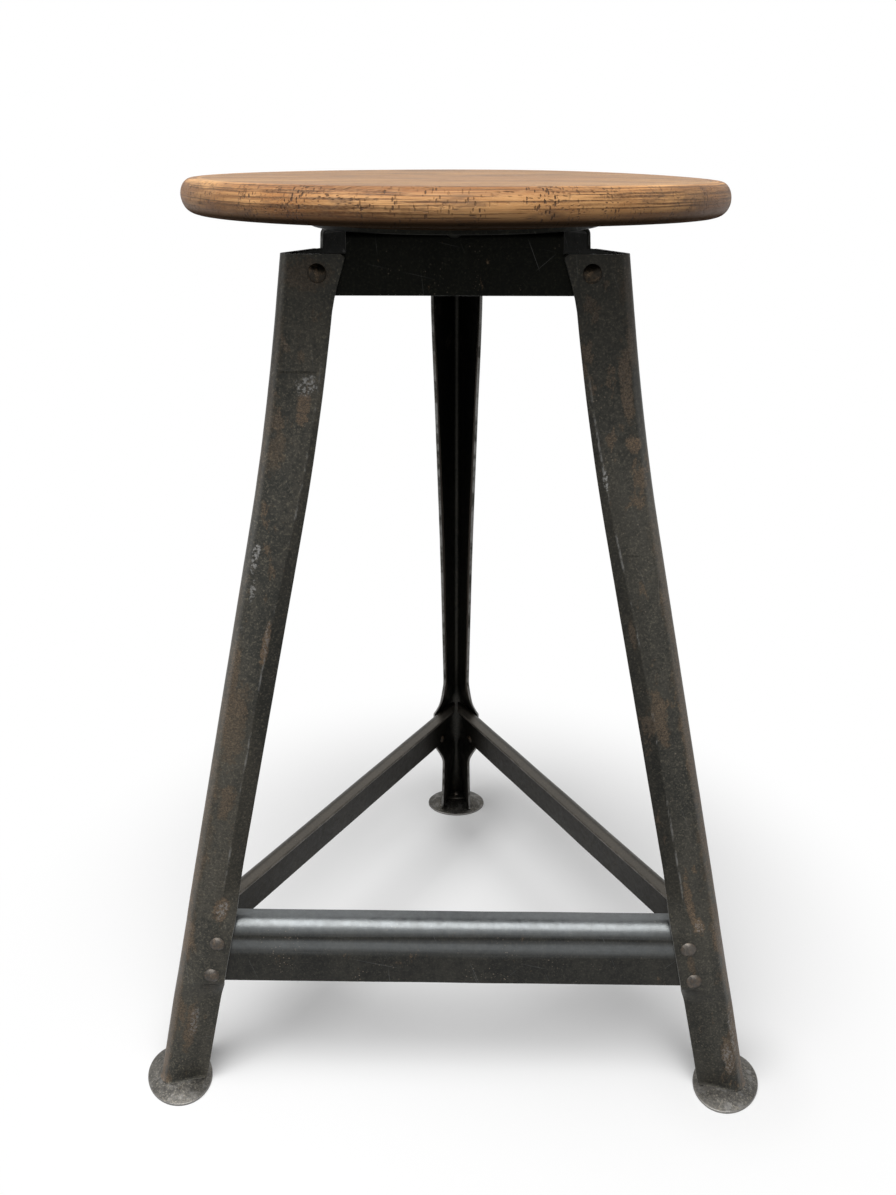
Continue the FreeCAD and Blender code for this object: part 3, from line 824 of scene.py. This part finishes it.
def tab_skin(first):
    """The tab turned in over the foot, its end following the fold; first is its first point's number."""
    centre = leg_section(tab_top)[0]
    reach = leg_section(tab_top)[3] - sheet / 2
    outline = [(-tab_half_width, tab_inner_end), (tab_half_width, tab_inner_end)]
    for k in range(6, -7, -1):
        angle = math.radians(15.0 * k)
        outline.append((reach * math.sin(angle), centre + reach * math.cos(angle)))
    middle = Vector((0.0, (tab_inner_end + centre + reach) / 2))
    top = []
    for x, y in outline:
        inward = (middle - Vector((x, y))).normalized() * tab_edge
        top.append((x + inward.x, y + inward.y, tab_top))
    rings = [[(*middle, foot_top(*middle) + gap_to_foot)],
             [(x, y, foot_top(x, y) + gap_to_foot) for x, y in outline],
             [(x, y, tab_top - tab_edge) for x, y in outline],
             top,
             [(*middle, tab_top)]]
    skin, rows = [], []
    for ring in rings:
        rows.append(range(first + len(skin), first + len(skin) + len(ring)))
        skin += ring
    return skin, join_rows(rows, other_way=True)


def make_leg(corner, degrees, material, seed, blow=None):
    points, marks, rows = [], [], []
    for z in leg_heights():
        ring = leg_ring(z)
        for x, y, across, mark in ring:
            wave = 0.18 * noise.noise(Vector((across * 0.06, z * 0.035, seed * 3.7)))
            out = -abs(wave) * 0.6 - pressed_in(blow, across, z)
            outward = Vector((x, y - leg_section(z)[0], 0.0)).normalized()
            height = z if z > 0.0 else foot_top(x, y) + gap_to_foot
            points.append(spun(x + outward.x * out, y + outward.y * out, height, degrees))
            marks.append((across, z, mark))
        rows.append(range(len(points) - len(ring), len(points)))
    faces = join_rows(rows, other_way=True)
    for row, order in ((rows[0], -1), (rows[-1], 1)):
        for k in range(len(row) // 2 - 1):
            faces.append((row[k], row[-4 - k], row[-5 - k], row[k + 1])[::order])
    skin, skin_faces = tab_skin(len(points))
    for x, y, z in skin:
        points.append(spun(x, y, z, degrees))
        marks.append((x, z, tab_mark))
    name = "leg_" + corner
    return new_piece(name + "_strip", points, faces + skin_faces, material, [name], marks)


def outer_face(mark):
    return ramp(mark, 0.45, 0.05)


def inner_face(mark):
    return times(ramp(mark, 0.3, 0.45), ramp(mark, 0.7, 0.55))


def from_lip(across, height):
    """How far across the strip a point is, moved so that the crease lies at one value all the way down."""
    wider = times(ramp(height, lip_narrow_at, lip_widest_at), lip_wider)
    return plus(size_of(across), wider)


def lip_height(height):
    return times(ramp(height, *lip_wear_begins), ramp(height, *lip_wear_ends))


def on_lip(across, height):
    """1 on the lip of a flange, past the lengthwise crease."""
    return times(ramp(from_lip(across, height), *lip_wear_from), lip_height(height))


def on_crease(across, height):
    """1 along the crease itself, where the blueing is rubbed through."""
    off = size_of(plus(from_lip(across, height), -crease_wear_at))
    return times(ramp(off, *crease_wear), lip_height(height))


def spots_of(place, spots):
    """Ragged spots on the outside of the strip: (across, height, half width, half height, share) of each."""
    across, height, mark = strip_place(place)
    ragged = plus(speckle(place, 190.0, 6.0, 0.75), -0.5)
    found = None
    for at_across, at_height, half_width, half_height, share in spots:
        side = times(plus(across, -at_across), 1 / half_width)
        up = times(plus(height, -at_height), 1 / half_height)
        away = plus(times(side, side), times(up, up))
        spot = times(ramp(plus(away, times(ragged, 5.0)), 1.35, 0.55), share)
        found = larger(found, spot) if found else spot
    return times(found, outer_face(mark))


def leg_finish(name, deep, light, brown_spots, pale_spots_and_highlights, dark_lines, outer=0.0):
    """Blued steel, rubbed brown beside the fold; outer is the side of the fold whose outer flange is given a
    painted light strip, or 0.
    """

    def rusty(place):
        across, height, mark = strip_place(place)
        ragged = speckle(place, 95.0, 5.0, 0.68, stretch=(1.0, 1.0, 0.45))
        streaks = ramp(speckle(place, 24.0, 3.0, 0.6, stretch=(1.0, 1.0, 0.30)), 0.36, 0.58)
        lower = plus(times(ramp(height, 470.0, 60.0), 0.60), 0.45)
        off_fold = plus(times(size_of(across), 0.030), times(ragged, -1.0))
        band = times(times(ramp(off_fold, -0.22, -0.50), streaks), lower)
        band = times(band, outer_face(mark))
        lip = times(times(on_lip(across, height), inner_face(mark)), 0.55)
        cloud = speckle(place, 46.0, 6.0, 0.70, stretch=(1.0, 1.0, 0.45))
        patch = times(ramp(cloud, 0.600, 0.640), 0.55)
        return larger(larger(larger(band, lip), patch), spots_of(place, brown_spots))

    def worn(place):
        across, height, mark = strip_place(place)
        outside = outer_face(mark)
        ragged = ramp(speckle(place, 90.0, 4.0), 0.35, 0.6)
        edge = times(times(cut_edge(mark), ragged), 0.5)
        ear = times(ramp(height, 186.0, 170.0), ramp(height, 84.0, 98.0))
        # Painted highlight along the edges of the ears.
        painted_ear_edge_highlight = times(times(ramp(mark, 0.5, 0.9), ear), 0.85)
        fold = ramp(size_of(across), 9.0, 3.0)
        rub = times(fold, ramp(speckle(place, 170.0, 5.0, 0.7), 0.60, 0.70))
        rub = times(times(rub, outside), 0.35)
        bits = ramp(speckle(place, 520.0, 4.0, 0.7), 0.46, 0.58)
        pale = times(spots_of(place, pale_spots_and_highlights), bits)
        broken = ramp(speckle(place, 110.0, 5.0, 0.75, stretch=(1.0, 1.0, 0.35)), 0.50, 0.62)
        crease = times(on_crease(across, height), broken)
        pale = larger(pale, times(times(crease, outside), 0.42))
        lip = times(times(on_lip(across, height), inner_face(mark)), 0.16)
        worn_off = larger(edge, larger(rub, larger(pale, lip)))
        bands = speckle(place, 60.0, 4.0, 0.6, stretch=(1.0, 1.0, 0.2))
        # Painted light: a strip of the outer flange beside the fold is lightened on one side of the leg.
        painted_side_light = times(ramp(times(across, outer), -7.0, -4.0), 0.15 * abs(outer))
        painted_side_light = times(times(painted_side_light, plus(0.35, bands)), outside)
        return larger(larger(worn_off, painted_side_light), painted_ear_edge_highlight)

    # The darkening: painted shade under the seat and on each flange's far half and lip, and the hollow
    # darkened, most towards the top.
    def black(place):
        across, height, mark = strip_place(place)
        lip = on_lip(across, height)
        hollow = times(inner_face(mark), 0.92)
        hollow = times(hollow, plus(1.0, times(lip, -0.90)))
        lighter_below = plus(0.45, times(ramp(height, 260.0, 520.0), 0.55))
        hollow = times(hollow, lighter_below)
        # Painted shade at the top of the leg, under the seat.
        head = times(ramp(height, 440.0, 610.0), 0.62)
        # Painted shade on the far half of each flange and on its lip.
        painted_far_half_shade = times(ramp(size_of(across), 13.0, 29.0), 0.22)
        painted_far_half_shade = times(plus(painted_far_half_shade, times(lip, 0.30)), outer_face(mark))
        lines = spots_of(place, dark_lines)
        return larger(larger(hollow, head), larger(painted_far_half_shade, lines))

    return sheet_steel(name, deep, light, 0.40, rusty, worn, black,
                       flecks=0.45, scratches=0.22, grain=0.7)


rear_steel = leg_finish(
    "rear_leg_steel", (0.036, 0.036, 0.033), (0.066, 0.062, 0.054),
    brown_spots=[(-2, 330, 4, 60, 0.5)], pale_spots_and_highlights=[(0, 200, 3, 12, 0.5)],
    dark_lines=[(-20, 400, 9, 0.7, 0.5)])
left_steel = leg_finish(
    "left_leg_steel", (0.040, 0.040, 0.036), (0.074, 0.069, 0.058),
    brown_spots=[(-25, 526, 4.5, 10, 0.85), (-9, 517, 5, 5, 0.50),
                 (-11, 498, 6, 12, 0.35), (-18, 607, 15, 9, 0.45),
                 (-16, 247, 6, 13, 0.50), (-6, 340, 4, 30, 0.50),
                 (-26, 158, 6, 9, 0.75), (-18, 55, 4.5, 22, 0.60),
                 (-3, 70, 4, 45, 0.60), (-25, 365, 2.8, 15, 0.95),
                 (-13, 305, 8, 30, 0.40)],
    pale_spots_and_highlights=[(-25, 540, 6, 6, 0.70), (-8, 427, 2.5, 11, 0.65),
                # The first spot on the next line, on the bump beside the ear, is a painted highlight.
                (-27, 157, 4, 6, 0.50), (-10, 404, 2, 8, 0.50),
                (-20, 60, 3, 14, 0.35), (-25, 368, 2, 12, 0.35)],
    dark_lines=[(-20, 548.5, 14, 0.9, 0.70), (-26, 96, 7, 1.2, 0.60)], outer=1)
# The right leg's steel colours are painted darker than the left leg's, as shade.
shaded_right_steel = leg_finish(
    "right_leg_shaded_steel", (0.031, 0.031, 0.028), (0.057, 0.054, 0.046),
    brown_spots=[(10, 540, 4, 26, 0.60), (10, 505, 4.5, 6, 0.85),
                 (4, 566, 3.5, 16, 0.55), (21, 168, 3, 22, 0.70),
                 (17, 151, 4, 6, 0.85), (10, 35, 5, 17, 0.60),
                 (3, 300, 4, 50, 0.50), (28, 118, 3, 8, 0.50),
                 (30, 375, 2.2, 10, 0.55), (20, 312, 5, 20, 0.50)],
    pale_spots_and_highlights=[(31, 480, 1.6, 9, 0.80), (3, 58, 3.5, 24, 0.45),
                # The first spot on the next line, on the bump beside the ear, is a painted highlight.
                (17, 150, 3, 4, 0.50), (11, 33, 4, 12, 0.40)],
    dark_lines=[(24, 430, 9, 0.8, 0.40)], outer=-1)
make_leg("rear", 0.0, rear_steel, seed=0.0)
make_leg("front_left", 120.0, left_steel, seed=2.0, blow=(-27.0, 151.0, 9.0, 1.6))
make_leg("front_right", 240.0, shaded_right_steel, seed=4.0, blow=(27.0, 151.0, 9.0, 1.3))


# Stretchers.
# Three rails bent from the same sheet: the wall lies on the opened legs, the top is turned in.
# Boots have polished the top and the bend of the front one; a highlight is painted round that bend
# and a reflection in a band below it.
stretcher_bottom = 98.5
stretcher_top = 148.0
stretcher_top_inner = 101.5
joint_plane_at_floor = leg_distance_at_floor + ear_lift
stretcher_half_length = 189.3
stretcher_corner = 5.0
stretcher_bend = 12.0
mitre_gap = 3.0


def stretcher_end(out, z):
    """Half the rail's length at one place: mitred to its neighbours, with a cut lower corner."""
    return min(stretcher_half_length, math.sqrt(3.0) * out - mitre_gap,
               stretcher_half_length + z - stretcher_bottom - stretcher_corner)


def boot_polish_and_glint(place):
    """Bare on the top, brightest round the bend, fading in streaks down the wall. The bright band round the
    bend is boot polish with a painted highlight, and the band below it a painted reflection.
    """
    along, run, mark = strip_place(place)
    streak = speckle(place, 1.0, 4.0, 0.6, stretch=(4.0, 160.0, 160.0))
    cloud = speckle(place, 170.0, 6.0, 0.75)
    level = plus(run, times(plus(streak, -0.5), 7.0))
    # Painted highlight round the bend, over the boot polish.
    bend = times(ramp(level, -1.0, 8.0), 0.40)
    # Painted reflection in a band below the bend.
    below = times(times(ramp(level, -17.0, -8.0), ramp(level, -0.5, -6.5)), 0.27)
    bare = times(larger(bend, below), ramp(mark, 0.30, 0.15))
    middle = times(ramp(size_of(along), 185.0, 120.0), 0.30)
    uneven = plus(middle, times(plus(cloud, -0.5), 0.9))
    return times(bare, plus(0.75, uneven))


def rail_edge_wear_and_lit_top(place):
    run, mark = strip_place(place)[1:3]
    ragged = ramp(speckle(place, 80.0, 4.0, 0.6), 0.38, 0.60)
    # Painted light: the top of the rail is lightened where it faces up.
    top = times(ramp(run, 14.0, 18.0), 0.22)
    return larger(top, times(times(cut_edge(mark), ragged), 0.40))


def rail_inside_shade(place):
    # Painted shade on the inner face of the side rails.
    return times(inner_face(strip_place(place)[2]), 0.60)


front_rail_steel = sheet_steel("front_rail_steel", (0.020, 0.020, 0.019), (0.034, 0.033, 0.029), 0.37,
                               worn=boot_polish_and_glint, flecks=0.6, scratches=0.3, grain=0.4,
                               bare_tone=(0.31, 0.33, 0.34))
side_rail_steel = sheet_steel("side_rail_steel", (0.017, 0.015, 0.011), (0.034, 0.029, 0.021), 0.42,
                              worn=rail_edge_wear_and_lit_top, darkening=rail_inside_shade, flecks=0.5, scratches=0.3, grain=0.6,
                              bare_tone=(0.30, 0.275, 0.245))
rail_path = sheet_angle(stretcher_bottom, stretcher_top, joint_plane_at_floor - sheet, leg_slope,
                        stretcher_top_inner, stretcher_bend)
for side, degrees, steel in (("front", 0.0, front_rail_steel), ("right", 120.0, side_rail_steel),
                             ("left", 240.0, side_rail_steel)):
    bent_sheet("stretcher_" + side + "_rail", rail_path, stretcher_end, degrees, steel,
               ["stretcher_" + side], dents=0.25)


# Rivets.
# Round-headed steel rivets, driven from outside and hammered down inside: one through each flange
# at the leg tops, two through each end of a stretcher.
rivet_head = (6.0, 2.9)
rivet_tail = (4.6, 2.3)
tail_crush = 0.3
rivet_steps = 28
head_rivet_across = 84.3
head_rivet_drop = 11.3
rail_rivets = ((175.9, 131.8), (181.9, 104.4))


def dome(radius, height, base, normal, seed, crush=0.0, first=0):
    """A round head standing on base along normal, a little uneven from the hammer; first as for tab_skin."""
    side = normal.orthogonal().normalized()
    over = normal.cross(side)
    ball = (radius ** 2 + height ** 2) / (2 * height)
    points, rows = [], []
    for share in (1.0, 0.985, 0.94, 0.86, 0.74, 0.58, 0.40, 0.20, 0.0):
        out = radius * share
        rise = height - ball + math.sqrt(max(0.0, ball ** 2 - out ** 2)) if share < 1.0 else -0.15
        rise *= 1.0 - crush * (1.0 - share)
        start = len(points)
        for k in range(rivet_steps if share else 1):
            angle = 2 * math.pi * k / rivet_steps
            uneven = 1 - 0.035 * abs(noise.noise(Vector((math.cos(angle), math.sin(angle), seed))))
            around = side * math.cos(angle) + over * math.sin(angle)
            points.append(tuple(base + around * out * uneven + normal * rise))
        rows.append(range(first + start, first + len(points)))
    return points, join_rows(rows, other_way=True)


def side_rivets(name, node, spots, material):
    """Heads and tails of the rivets through two sheets: (across, height, plane at floor, slope, turn)."""
    points, faces = [], []
    for i, (across, height, plane, slope, degrees) in enumerate(spots):
        face = Vector(spun(across, -(plane - slope * height), height, degrees))
        normal = Vector(spun(0.0, -1.0, slope, degrees)).normalized()
        grip = 2 * sheet * math.cos(math.atan(slope))
        seed = i + degrees
        for shape, base, way, crush in ((rivet_head, face, normal, 0.0),
                                        (rivet_tail, face - normal * grip, -normal, tail_crush)):
            more, more_faces = dome(*shape, base, way.normalized(), seed, crush, first=len(points))
            seed += 7
            points += more
            faces += more_faces
    new_piece(name, points, faces, material, [node])


def rivet_brown(place):
    return times(ramp(speckle(place, 240.0, 4.0, 0.6), 0.46, 0.66), 0.45)


rivet_steel = sheet_steel("rivet_steel", (0.050, 0.046, 0.042), (0.092, 0.083, 0.074), 0.36,
                          rusty=rivet_brown, flecks=0.3, scratches=0.2, grain=0.4)
# A darker copy of the rivet steel: painted shade for the rivets under the seat and at the rear leg.
shaded_rivet_steel = sheet_steel("shaded_rivet_steel", (0.012, 0.010, 0.008), (0.026, 0.022, 0.017), 0.42,
                                rusty=rivet_brown, flecks=0.2, scratches=0.1, grain=0.4)
for corner, left_turn, right_turn in (("rear", 240.0, 120.0), ("front_left", 0.0, 240.0),
                                      ("front_right", 120.0, 0.0)):
    at_head = (leg_top - head_rivet_drop, head_plane_at_floor, apron_slope)
    side_rivets("leg_top_rivet_heads_" + corner, "leg_top_rivets_" + corner,
                [(head_rivet_across, *at_head, right_turn), (-head_rivet_across, *at_head, left_turn)],
                shaded_rivet_steel)
for side, degrees, right_corner, left_corner in (("front", 0.0, "front_right", "front_left"),
                                                 ("right", 120.0, "rear", "front_right"),
                                                 ("left", 240.0, "front_left", "rear")):
    for way, corner in ((1, right_corner), (-1, left_corner)):
        side_rivets("rail_rivet_heads_" + side + "_" + corner, "stretcher_" + side + "_rivets_" + corner,
                    [(way * across, height, joint_plane_at_floor, leg_slope, degrees)
                     for across, height in rail_rivets],
                    shaded_rivet_steel if corner == "rear" else rivet_steel)


# Feet.
# Oval domed glides pressed from thick sheet, worn to bare grey steel, each held to the tab of its
# leg by a round-headed rivet from above.
foot_sheet = 2.4
foot_hollow_edge = 0.6
foot_low_corner = 0.35
foot_steps = 96
foot_rivet_at = 255.5
foot_rivet_head = (3.6, 2.2)


def foot_rings():
    """The glide's rings from the crown out, round the rim and back in: (share, height, edge, dented)."""
    rise = foot_crown - foot_rim
    rings = [(i / 12, 0.0, 0.0) for i in range(12)] + [(0.965, 0.0, 0.0)]
    rings += [(0.985, 0.08, 1.0), (0.997, 0.35, 1.0), (1.0, 0.8, 1.0)]
    rings = [(share, foot_crown - rise * share ** 2 - drop, edge, 1.0) for share, drop, edge in rings]
    inner = 1 - foot_sheet / foot_half_width
    rings += [(1.0, foot_low_corner, 1.0, 0.0), (0.985, 0.0, 1.0, 0.0), (inner, 0.0, 1.0, 0.0)]
    for i in (5, 4, 3, 2, 1, 0):
        height = (foot_crown - foot_sheet) * (1 - (i / 5) ** 2) + foot_hollow_edge * (i / 5) ** 2
        rings.append((inner * i / 5, height, 0.0, 0.0))
    return rings


def make_foot(corner, degrees, material):
    points, marks, rows = [], [], []
    for share, height, edge, dented in foot_rings():
        start = len(points)
        for k in range(foot_steps if share > 0.0 else 1):
            angle = 2 * math.pi * k / foot_steps
            x = foot_half_width * share * math.cos(angle)
            y = foot_half_length * share * math.sin(angle)
            dent = 0.12 * dented * abs(noise.noise(Vector((x * 0.12, y * 0.12, degrees))))
            points.append(spun(x, y + foot_centre, height - dent, degrees))
            marks.append((share, angle, edge))
        rows.append(range(start, len(points)))
    name = "foot_" + corner
    new_piece(name + "_glide", points, join_rows(rows), material, [name], marks)


def foot_scuffs(place):
    mark = strip_place(place)[2]
    scuff = ramp(speckle(place, 130.0, 6.0, 0.72), 0.50, 0.64)
    return larger(times(scuff, 0.30), times(ramp(mark, 0.5, 1.0), 0.35))


foot_steel = sheet_steel("foot_steel", (0.066, 0.063, 0.058), (0.140, 0.133, 0.121), 0.42,
                         worn=foot_scuffs, flecks=0.5, scratches=0.5, grain=0.7)
# A darker copy of the foot steel: painted shade for the rear foot, in the stool's shadow.
shaded_rear_foot_steel = sheet_steel("shaded_rear_foot_steel", (0.030, 0.029, 0.026), (0.066, 0.062, 0.055), 0.44,
                              worn=foot_scuffs, flecks=0.4, scratches=0.5)
for corner, degrees in (("rear", 0.0), ("front_left", 120.0), ("front_right", 240.0)):
    make_foot(corner, degrees, shaded_rear_foot_steel if corner == "rear" else foot_steel)
    at = Vector(spun(0.0, foot_rivet_at, tab_top, degrees))
    points, faces = dome(*foot_rivet_head, at, Vector((0.0, 0.0, 1.0)), degrees)
    new_piece("foot_rivet_head_" + corner, points, faces, rivet_steel, ["foot_rivet_" + corner])
